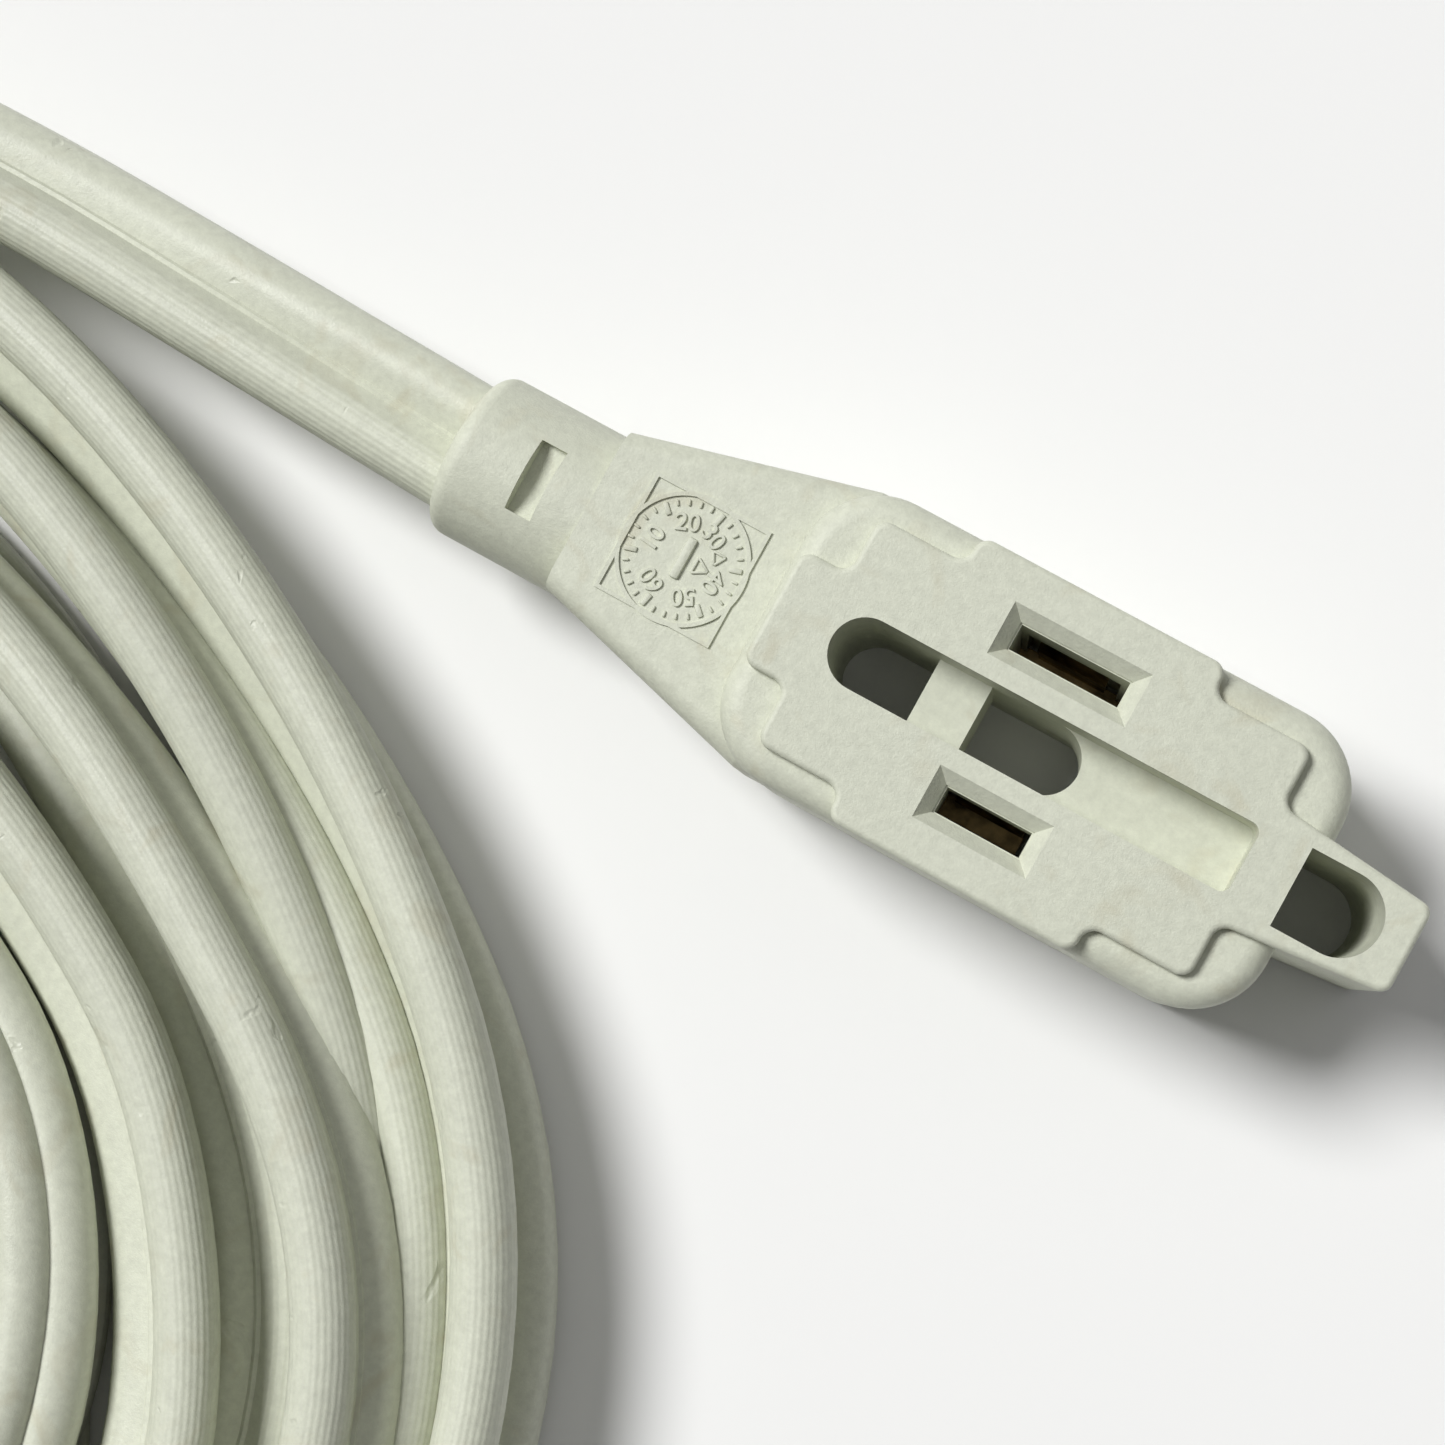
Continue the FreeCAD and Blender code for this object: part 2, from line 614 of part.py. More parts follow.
def housingHollow():
    """All that is hollow in the housing: slots, blade tunnels, contact chambers and the strips' channels."""
    hollows = throughHole()
    for name, sign, length in (("neutral", "", "wide_slot"), ("hot", "-", "narrow_slot")):
        y = "%spitch / 2" % sign
        ys = (y + " - (" + CHAMBER_HALF + ")", y + " + " + CHAMBER_HALF)
        slot = ("outlet_x - %s / 2 + slot_step" % length, "outlet_x + %s / 2 - slot_step" % length)
        blade_ys = (y + " - blade_room / 2", y + " + blade_room / 2")
        leaves = ("outlet_x - leaf_long / 2 - leaf_room", "outlet_x + leaf_long / 2 + leaf_room")
        channel = ("outlet_x - lobe_back", "outlet_x")
        climb = ("outlet_x - lobe_back", "outlet_x - rise_front")
        hollows += [
            chamber(name + "_slot_in", slot, blade_ys, (CHAMBER_FLOOR, LOBE_ROOF)),
            chamber(name + "_face_room", leaves, ys),
            chamber(name + "_channel", channel, ys, (CHAMBER_FLOOR, CHAMBER_FLOOR + " + channel_high")),
            chamber(name + "_rise_room", climb, ys, (CHAMBER_FLOOR, MID + " + " + BARREL_OUT)),
        ]
    near, far = "side_leaf_inner", "side_leaf_inner + side_leaf_long"
    side = {
        "neutral": ("outlet_x + pitch / 2", near, far, "-blade_reach_in", "wide_slot"),
        "hot": ("outlet_x - pitch / 2", "-(%s)" % far, "-" + near, "-(%s)" % far, "narrow_slot"),
    }
    for name, (x, low, high, stop, length) in side.items():
        xs = (x + " - (" + CHAMBER_HALF + ")", x + " + " + CHAMBER_HALF)
        tunnel = (x + " - blade_room / 2", x + " + blade_room / 2")
        tall = (MID + " - %s / 2 + slot_step" % length, MID + " + %s / 2 - slot_step" % length)
        hollows += [
            chamber(name + "_side_room", xs, (low + " - chamber_clear", high + " + chamber_clear")),
            chamber(name + "_tunnel", tunnel, (stop, LOBE_OUTER), tall),
        ]
    return fused("housing_hollow", hollows)


def housingHalf(name, whole, zs):
    """One half of the housing, split at the head's middle."""
    room = block(name + "_side", ("outlet_x - body_back", "outlet_x + body_front"),
                 ("-body_width / 2", "body_width / 2"), zs)
    return shared(name, whole, room)


# --- connector head: contacts ---


def leafCorners(side, floor, out):
    """One sprung leaf in section, foot to mouth: up from the foot, in to the pinch and out to the mouth."""
    foot = "(leaf_foot / 2 - brass)"
    pinch = "leaf_pinch / 2"
    mouth = "leaf_mouth / 2"
    top = CHAMBER_ROOF + " - leaf_clear"
    line = [(foot, floor), (foot, floor + " + leaf_knee"), (pinch, top + " - leaf_lip"), (mouth, top)]
    inner = [("%s %s (%s)" % (out, side, s), z) for s, z in line]
    outer = [("%s %s (%s + brass)" % (out, side, s), z) for s, z in reversed(line)]
    return inner + outer


def contact(name, sign, front):
    """A brass strip: spine, leaves for the face, leaves for the side outlet, and crimp barrel."""
    body = newBody(name)
    y = "%spitch / 2" % sign
    floor = CHAMBER_FLOOR
    tail = MID + " - " + BARREL_OUT
    spine = [
        ("outlet_x - spine_tail", tail),
        ("outlet_x - spine_top", tail),
        ("outlet_x - spine_foot", floor),
        (front, floor),
        (front, floor + " + brass"),
        ("outlet_x - spine_foot + spine_bend", floor + " + brass"),
        ("outlet_x - spine_top + spine_bend", tail + " + brass"),
        ("outlet_x - spine_tail", tail + " + brass"),
    ]
    lift = "-(%s) - spine_width / 2" % y
    pad(body, outline(body, name + "_spine", "XZ_Plane", lift, spine), "spine_width")
    for number, side in enumerate("+-", start=1):
        corners = leafCorners(side, floor, y)
        lift = "outlet_x - leaf_long / 2"
        sketch = outline(body, "%s_face_leaf_%d" % (name, number), "YZ_Plane", lift, corners)
        pad(body, sketch, "leaf_long")
        if sign:
            x = "outlet_x - pitch / 2"
            lift = "side_leaf_inner"
        else:
            x = "outlet_x + pitch / 2"
            lift = "-side_leaf_inner - side_leaf_long"
        corners = leafCorners(side, floor, x)
        sketch = outline(body, "%s_side_leaf_%d" % (name, number), "XZ_Plane", lift, corners)
        pad(body, sketch, "side_leaf_long")
    start = "outlet_x - barrel_back"
    pad(body, ring(body, name + "_barrel", start, y, MID, (BARREL_OUT, "strand_dia / 2")), "barrel_long")
    return body


# --- the cord's two cores, parted inside the head and inside the plug ---


def partingPath(start, bend, done, end, narrow, wide, z):
    """A path along X that swings from one distance off the middle to another in two equal arcs."""
    run = done - bend
    rise = wide - narrow
    radius = (run * run + rise * rise) / (4 * abs(rise))
    turn = math.asin(run / 2 / radius)
    way = math.copysign(1, rise)
    along = radius * math.sin(turn / 2)
    aside = way * radius * (1 - math.cos(turn / 2))
    first = Vector(bend, narrow, z)
    middle = Vector((bend + done) / 2, (narrow + wide) / 2, z)
    last = Vector(done, wide, z)
    edges = [
        Part.LineSegment(Vector(start, narrow, z), first),
        Part.Arc(first, first + Vector(along, aside, 0), middle),
        Part.Arc(middle, last - Vector(along, aside, 0), last),
        Part.LineSegment(last, Vector(end, wide, z)),
    ]
    return Part.Wire([edge.toShape() for edge in edges])


def roundAlong(name, path, diameter):
    """A round bar along a path that starts along X."""
    start = path.Edges[0].Vertexes[0].Point
    profile = Part.Wire([Part.makeCircle(diameter / 2, start, Vector(1, 0, 0))])
    bar = doc.addObject("Part::Feature", name)
    bar.Shape = path.makePipeShell([profile], True, False)
    return bar


def coreAndStrands(name, way, start, bend, done, stop, end, z):
    """One core's room in the moulding, its insulation and its copper, on one side of the middle."""
    narrow = way * (size("core_dia") + size("core_gap")) / 2
    wide = way * size("pitch") / 2
    core_path, copper_path = (partingPath(start, bend, done, to, narrow, wide, z) for to in (stop, end))
    room = roundAlong(name + "_core_room", core_path, size("core_dia"))
    copper = roundAlong(name + "_copper", copper_path, size("strand_dia"))
    return room, without(name + "_insulation", room, copper), copper


# --- the cord ---


def bends(route):
    """Each inner point of a route with the radius of its arc and where the arc starts and ends."""
    points = [Vector(*point) for point in route]
    found = []
    for before, here, after in zip(points, points[1:], points[2:]):
        back = before - here
        ahead = after - here
        turn = math.pi - back.getAngle(ahead)
        reach = 0.45 * min(back.Length, ahead.Length)
        radius = reach / math.tan(turn / 2)
        start = here + back.normalize() * reach
        end = here + ahead.normalize() * reach
        towards = (start + end) * 0.5 - here
        crown = here + towards.normalize() * (radius / math.cos(turn / 2) - radius)
        found.append((radius, start, crown, end))
    return found


def routeWire(route):
    """Straight runs joined by tangent arcs."""
    edges = []
    at = Vector(*route[0])
    for _, start, crown, end in bends(route):
        edges.append(Part.LineSegment(at, start).toShape())
        edges.append(Part.Arc(start, crown, end).toShape())
        at = end
    edges.append(Part.LineSegment(at, Vector(*route[-1])).toShape())
    return Part.Wire(edges)


def cordSection(at, along):
    """The flat cord's section, lying flat, square to the direction that the cord takes."""
    half = size("cord_thick") / 2
    flat = (size("cord_width") - size("cord_thick")) / 2
    corners = [Vector(0, y, z) for y, z in ((-flat, -half), (flat, -half), (flat, half), (-flat, half))]
    wire = Part.Wire([
        Part.LineSegment(corners[0], corners[1]).toShape(),
        Part.Arc(corners[1], Vector(0, flat + half, 0), corners[2]).toShape(),
        Part.LineSegment(corners[2], corners[3]).toShape(),
        Part.Arc(corners[3], Vector(0, -flat - half, 0), corners[0]).toShape(),
    ])
    wire.Placement = Placement(at, Rotation(Vector(1, 0, 0), along))
    return wire


def cordTube(name, route, coil):
    """The cord along a route, up to the coil that it goes into."""
    path = routeWire(route)
    sweep = Part.BRepOffsetAPI.MakePipeShell(path)
    sweep.setBiNormalMode(Vector(0, 0, 1))
    section = cordSection(Vector(*route[0]), Vector(*route[1]) - Vector(*route[0]))
    sweep.add(section)
    sweep.build()
    sweep.makeSolid()
    tube = doc.addObject("Part::Feature", name + "_whole")
    tube.Shape = sweep.shape()
    filled = tube.Shape.Volume / (Part.Face(section).Area * path.Length)
    radii = ", ".join("%.0f" % radius for radius, _, _, _ in bends(route))
    print("%s: radii %s mm, volume %.4f of section by length" % (name, radii, filled))
    return without(name, tube, coil)


def oval(name, at_x, at_y, half_long, half_wide, end):
    """An upright oval block of the coil's height, of two end arcs and two flatter side arcs."""
    long, wide, tight = size(half_long), size(half_wide), size(end)
    flat = ((long - tight) ** 2 + wide ** 2 - tight ** 2) / (2 * (wide - tight))
    x, y, _ = Vector(long - tight, 0, 0) + Vector(long - tight, flat - wide, 0).normalize() * tight
    corners = [Vector(x, -y, 0), Vector(x, y, 0), Vector(-x, y, 0), Vector(-x, -y, 0)]
    crowns = [Vector(long, 0, 0), Vector(0, wide, 0), Vector(-long, 0, 0), Vector(0, -wide, 0)]
    arcs = [Part.Arc(corners[n], crowns[n], corners[(n + 1) % 4]).toShape() for n in range(4)]
    solid = doc.addObject("Part::Feature", name)
    solid.Shape = Part.Face(Part.Wire(arcs)).extrude(Vector(0, 0, size("coil_high")))
    return bind(solid, Placement__Base__x=at_x, Placement__Base__y=at_y)


def loop(ys, high, radii, inset=0):
    """A block across the coil at the tie, its lengthwise edges rounded."""
    wide = size("tie_width") + 2 * inset
    low, top = ys[0] + inset, ys[1] - inset
    solid = Part.makeBox(wide, top - low, high - 2 * inset, Vector(size("tie_x") - wide / 2, low, inset))
    middle = high / 2
    for radius, above in ((radii[0], True), (radii[1], False)):
        edges = [e for e in solid.Edges if isAlong(e, 0) and (e.BoundBox.ZMin > middle) == above]
        solid = solid.makeFillet(radius - inset, edges)
    return solid


def coilAndTie():
    """The coil as one oval ring, gathered on its far side, and the tie round it there."""
    outer = oval("coil_outer", "coil_x", "coil_y", "coil_long", "coil_wide", "coil_end")
    inner = oval("coil_inner", "hole_x", "hole_y", "hole_long", "hole_wide", "hole_end")
    whole = without("coil_plain", outer, inner)
    top = rounded("coil_crown", whole, "coil_round", lambda e: liesAt(e, size("coil_high")))
    shape = rounded("coil_shape", top, "coil_foot", lambda e: liesAt(e, 0))
    doc.recompute()
    middle = size("coil_high") / 2
    far = Vector(size("tie_x"), size("coil_y") - 2 * size("coil_wide"), middle)
    near = Vector(size("tie_x"), size("hole_y"), middle)
    ends = sorted(vertex.Y for vertex in shape.Shape.common(Part.makeLine(far, near)).Vertexes)
    gap = size("tie_gap")
    ys = (ends[0] - gap, ends[-1] + gap)
    high = size("coil_high") + gap
    radii = (size("coil_round"), size("coil_foot"))
    tie = doc.addObject("Part::Feature", "cord_tie")
    tie.Shape = loop(ys, high, radii).cut(loop(ys, high, radii, size("tie_thick")))
    return without("cord_coil", shape, tie), tie


def isAlong(edge, axis):
    """Whether a straight edge runs along one axis."""
    return isinstance(edge.Curve, Part.Line) and abs(edge.Curve.Direction[axis]) > 0.99


# --- plug, in its own frame: cord entry at the origin, blades towards +X ---

FACE = "(relief_long + plug_long)"


def plugForm():
    """The plug's moulding: grip, flare and face, and the tapered strain relief."""
    body = newBody("plug_grip")
    half = [
        ("relief_long", "plug_shoulder / 2"),
        ("relief_long + plug_taper", "plug_waist / 2"),
        ("relief_long + plug_grip", "plug_waist / 2"),
        (FACE + " - plug_flare", "plug_width / 2"),
        (FACE, "plug_width / 2"),
    ]
    corners = half + [(x, "-(%s)" % y) for x, y in reversed(half)]
    pad(body, outline(body, "grip_outline", "XY_Plane", "-plug_thick / 2", corners), "plug_thick")
    face = value(FACE)

    def isGrip(edge):
        return edge.BoundBox.XMax < face - 0.01 or not runsUp(edge) and edge.BoundBox.XMin < face - 0.01

    soften(body, "grip_edges", "plug_edge", isGrip)

    taper = doc.addObject("Part::Wedge", "relief_taper")
    taper.Placement = Placement(Vector(), Rotation(Vector(0, 0, 1), -90))
    taper.Ymin = 0
    bind(taper, Ymax="relief_long + relief_bed")
    bind(taper, Xmin="-relief_width / 2", Xmax="relief_width / 2")
    bind(taper, Zmin="-relief_thick / 2", Zmax="relief_thick / 2")
    bind(taper, X2min="-relief_root_width / 2", X2max="relief_root_width / 2")
    bind(taper, Z2min="-relief_root_thick / 2", Z2max="relief_root_thick / 2")
    relief = rounded("plug_relief", taper, "relief_edge", lambda e: e.BoundBox.XLength > size("relief_long"))

    slots = []
    zs = ("-plug_thick / 2", "plug_thick / 2")
    for number in range(round(size("relief_slots"))):
        start = "relief_first + %d * relief_step" % number
        xs = (start, start + " + relief_slot")
        slots.append(block("relief_slot_%d" % number, xs, ("relief_web / 2", "plug_waist / 2"), zs))
        slots.append(block("relief_slot_far_%d" % number, xs, ("-plug_waist / 2", "-relief_web / 2"), zs))
    tapered = without("plug_relief_slotted", relief, fused("relief_slots", slots))
    return fused("plug_form", [body, tapered])


def blade(name, y, width):
    """A folded brass blade with its hole, tail and crimp barrel."""
    body = newBody(name)
    tip = FACE + " + blade_out"
    root = FACE + " - bridge_in - bridge_long"
    half = [
        (root + " + blade_root", width + " / 2"),
        (tip + " - blade_tip", width + " / 2"),
        (tip, width + " / 2 - blade_tip"),
    ]
    corners = half + [(x, "-(%s)" % z) for x, z in reversed(half)]
    lift = "-(%s) - blade_thick / 2" % y
    pad(body, outline(body, name + "_flat", "XZ_Plane", lift, corners), "blade_thick")
    strip = [
        ("plug_barrel + barrel_long - tail_lap", "-blade_tail / 2"),
        (root + " + 2 * blade_root", "-blade_tail / 2"),
        (root + " + 2 * blade_root", "blade_tail / 2"),
        ("plug_barrel + barrel_long - tail_lap", "blade_tail / 2"),
    ]
    lift = "-(%s) - barrel_wall / 2" % y
    pad(body, outline(body, name + "_strip", "XZ_Plane", lift, strip), "barrel_wall")
    barrel = ring(body, name + "_barrel", "plug_barrel", y, CENTRE, (BARREL_OUT, "strand_dia / 2"))
    pad(body, barrel, "barrel_long")
    doc.recompute()
    drill = doc.addObject("Part::Cylinder", name + "_drill")
    drill.Placement = Placement(Vector(), Rotation(Vector(1, 0, 0), 90))
    bind(drill, Radius="blade_hole / 2", Height="3 * blade_thick")
    bind(drill, Placement__Base__x=FACE + " + blade_hole_at", Placement__Base__y="%s + 1.5 * blade_thick" % y)
    return without(name + "_drilled", body, drill)


def placed(name, piece):
    """A piece of the plug where it lies, in the coil's opening."""
    there = doc.addObject("Part::Compound", name)
    there.Links = [piece]
    bind(there, Placement__Base__x="plug_x", Placement__Base__y="plug_y", Placement__Base__z="plug_thick / 2")
    return bind(there, Placement__Rotation__Angle="plug_turn")


def plug():
    """All pieces of the plug."""
    bridge_x = (FACE + " - bridge_in - bridge_long", FACE + " - bridge_in")
    bridge_block = block("bridge_block", bridge_x, ("-bridge_width / 2", "bridge_width / 2"),
                         ("-bridge_thick / 2", "bridge_thick / 2"))
    blades = {
        "neutral": blade("plug_neutral", "pitch / 2", "wide_blade"),
        "hot": blade("plug_hot", "-pitch / 2", "narrow_blade"),
    }
    inner = [bridge_block] + list(blades.values())
    nodes = {}
    for name, way in (("neutral", 1), ("hot", -1)):
        end = value("plug_barrel + barrel_long - strand_back")
        stations = [size(station) for station in ("plug_part", "plug_spread", "plug_core_stop")]
        room, core, copper = coreAndStrands("plug_" + name, way, 0, *stations, end, 0)
        inner += [room, copper]
        nodes["plug_%s_core" % name] = core
        nodes["plug_%s_strands" % name] = copper
    nodes["plug_overmould"] = without("plug_moulding", plugForm(), fused("plug_inside", inner))
    both = fused("blades_together", list(blades.values()))
    nodes["plug_bridge"] = without("bridge_slotted", bridge_block, both)
    nodes["neutral_blade"] = blades["neutral"]
    nodes["hot_blade"] = blades["hot"]
    return {name: placed(name, piece) for name, piece in nodes.items()}


# --- the whole cord set ---


def head():
    """All pieces of the connector head."""
    upper_face = facePad()
    lower_face = doc.addObject("Part::Mirroring", "face_pad_under")
    lower_face.Source = upper_face
    lower_face.Normal = Vector(0, 0, 1)
    lower_face.setExpression("Base.z", cells(MID))
    blocks = [bodyBlock(), neckWedge(), collar(), noseCore(), upper_face, lower_face]
    form = fused("head_form", blocks + dateDial())

    housing = housingForm()
    whole = without("housing_whole", housing, housingHollow())
    contacts = {
        "neutral": contact("neutral_contact", "", "outlet_x + pitch / 2 + leaf_foot / 2"),
        "hot": contact("hot_contact", "-", "outlet_x + leaf_long / 2"),
    }
    nodes = {
        "housing_upper": housingHalf("housing_upper", whole, (MID, "head_height")),
        "housing_lower": housingHalf("housing_lower", whole, (CENTRE, MID)),
        "neutral_contact": contacts["neutral"],
        "hot_contact": contacts["hot"],
    }
    inside = [housing] + list(contacts.values())
    for name, way in (("neutral", 1), ("hot", -1)):
        back = ("collar_back", "core_part", "core_spread", "core_stop", "barrel_back - barrel_long")
        stations = [value("outlet_x - (%s)" % station) for station in back]
        room, core, copper = coreAndStrands(name, way, *stations, value(MID))
        inside += [room, copper]
        nodes[name + "_core"] = core
        nodes[name + "_strands"] = copper
    cutters = outletCutters() + windowCutters() + hangingHoleCutters() + [collarPocket()]
    cutter = fused("head_cutters", cutters + inside)
    nodes["connector_overmould"] = without("connector_overmould", form, cutter)
    return nodes


def build():
    """Every node of the part, by name."""
    nodes = head()
    coil, tie = coilAndTie()
    nodes["cord_coil"] = coil
    nodes["cord_tie"] = tie
    nodes["cord_lead"] = cordTube("cord_lead", LEAD_ROUTE, coil)
    nodes["cord_tail"] = cordTube("cord_tail", TAIL_ROUTE, coil)
    nodes.update(plug())
    doc.recompute()
    return nodes


def check(nodes):
    """Stops with a plain message if any object failed or any node isn't sound."""
    for thing in doc.Objects:
        if "Invalid" in thing.State or "Error" in thing.State:
            raise SystemExit("%s failed: %s" % (thing.Name, thing.State))
    for name, node in nodes.items():
        if node.Shape.isNull() or not node.Shape.isValid() or not node.Shape.Solids:
            raise SystemExit("%s is not a sound solid" % name)


def export(nodes):
    """Writes each node's solids to its own file."""
    os.makedirs("parts", exist_ok=True)
    for name, node in sorted(nodes.items()):
        node.Label = name
        node.Shape.exportStep("parts/%s.step" % name)
        box = node.Shape.BoundBox
        print("%-22s %d solid(s) %9.1f mm3  x %.2f..%.2f  y %.2f..%.2f  z %.2f..%.2f" % (
            name, len(node.Shape.Solids), node.Shape.Volume,
            box.XMin, box.XMax, box.YMin, box.YMax, box.ZMin, box.ZMax))


nodes = build()
check(nodes)
export(nodes)
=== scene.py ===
import math

import bpy
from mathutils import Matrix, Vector


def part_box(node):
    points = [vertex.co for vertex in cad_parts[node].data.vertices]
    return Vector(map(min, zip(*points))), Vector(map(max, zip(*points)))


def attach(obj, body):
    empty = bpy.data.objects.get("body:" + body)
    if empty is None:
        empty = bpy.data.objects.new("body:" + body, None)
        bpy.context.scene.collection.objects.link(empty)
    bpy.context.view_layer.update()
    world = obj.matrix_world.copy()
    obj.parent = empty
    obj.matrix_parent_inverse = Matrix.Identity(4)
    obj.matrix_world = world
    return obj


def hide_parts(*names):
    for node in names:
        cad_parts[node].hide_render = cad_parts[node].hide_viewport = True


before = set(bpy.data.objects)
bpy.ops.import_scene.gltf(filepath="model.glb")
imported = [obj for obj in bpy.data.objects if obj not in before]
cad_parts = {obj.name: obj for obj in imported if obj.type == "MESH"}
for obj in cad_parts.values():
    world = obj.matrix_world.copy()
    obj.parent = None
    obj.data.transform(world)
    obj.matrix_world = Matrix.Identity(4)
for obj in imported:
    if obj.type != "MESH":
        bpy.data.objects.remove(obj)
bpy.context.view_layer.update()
scene = bpy.context.scene
mm = 0.001


# small helpers


def addObject(name, data):
    thing = bpy.data.objects.new(name, data)
    scene.collection.objects.link(thing)
    return thing


def onlySelect(piece):
    bpy.ops.object.select_all(action="DESELECT")
    piece.select_set(True)
    bpy.context.view_layer.objects.active = piece


def coat(piece, material):
    piece.data.materials.clear()
    piece.data.materials.append(material)


def boxOf(node):
    # the middle of a CAD node's box and half its size, to a tenth of a mm
    low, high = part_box(node)
    middle = [round((a + b) / 2 / mm, 1) for a, b in zip(low, high)]
    half = [round((b - a) / 2 / mm, 1) for a, b in zip(low, high)]
    return middle, half


# camera

view = {
    "place": (14.99, -14.55, 224.93),  # mm
    "turn": (4.797, 5.503, 29.181),  # degrees
    "lens": 72.25,
    "sensor": 36,
}


def makeCamera():
    data = bpy.data.cameras.new("camera")
    data.lens = view["lens"]
    data.sensor_width = view["sensor"]
    camera = addObject("camera", data)
    camera.location = Vector(view["place"]) * mm
    camera.rotation_euler = [math.radians(angle) for angle in view["turn"]]
    scene.camera = camera


makeCamera()
print("camera in place")


# cord, in mm and degrees

cord = {
    "width": 10.2,
    "thick": 4.9,
    "groove": 1.3,  # half the thickness at the bottom of the groove
    "bead": 0.3,  # half the width of a low rib along the groove
    "beadFoot": 0.05,  # how far it starts above the groove
    "beadTop": 0.22,
    "facets": 10,  # round the smooth one of its two cores
    "ribs": 20,  # round the other core
    "ribHigh": 0.042,
    "ribWide": 0.27,
    "crease": 50,  # an edge sharper than this stays a crease
    "step": 15,  # between the route's points round the coil
    "closeStep": 8,  # the same at its right end, where its strands fan out
    "sections": 4,  # swept for each point of the route
}

# from the collar to the coil: x, y, z and roll
lead = [
    (-39.1, 0.0, 10.0, 0),
    (-50.0, 0.5, 9.8, 6),
    (-64.0, 1.1, 9.3, 16),
    (-81.0, 1.8, 9.2, 24),
    (-98.0, 1.2, 10.0, 22),
    (-114.0, -2.6, 12.2, 14),
    (-129.0, -9.2, 14.8, 6),
    (-142.5, -18.2, 15.6, 0),
]
# from the coil to the plug
tail = [
    (-36.5, -110.0, 2.75, 366),
    (-30.5, -100.0, 3.0, 370),
    (-30.6, -87.4, 3.3, 373),
    (-38.4, -74.4, 3.8, 373),
    (-50.8, -66.0, 4.8, 370),
    (-64.0, -63.6, 6.0, 364),
    (-76.0, -64.0, 6.9, 360),
    (-88.0, -64.0, 7.0, 360),
]

coilMiddle, coilHalf = boxOf("cord_coil")
coil = {
    "centre": [round(value) for value in coilMiddle[:2]],  # its solid's oval, to a whole mm
    "halfLong": round(coilHalf[0]),
    "halfWide": round(coilHalf[1]),
    "endRadius": 58.0,
    "start": 142,  # on the way to its first turn
    "end": 332,  # of its last turn
    "close": (325, 440),  # where its points have the close step
}
# angles round the coil, from its left end past the tie, through the right end and back over the top
stations = (
    180, 270, 305, 340,
    360, 372, 381, 390,
    410, 430, 462, 500,
)
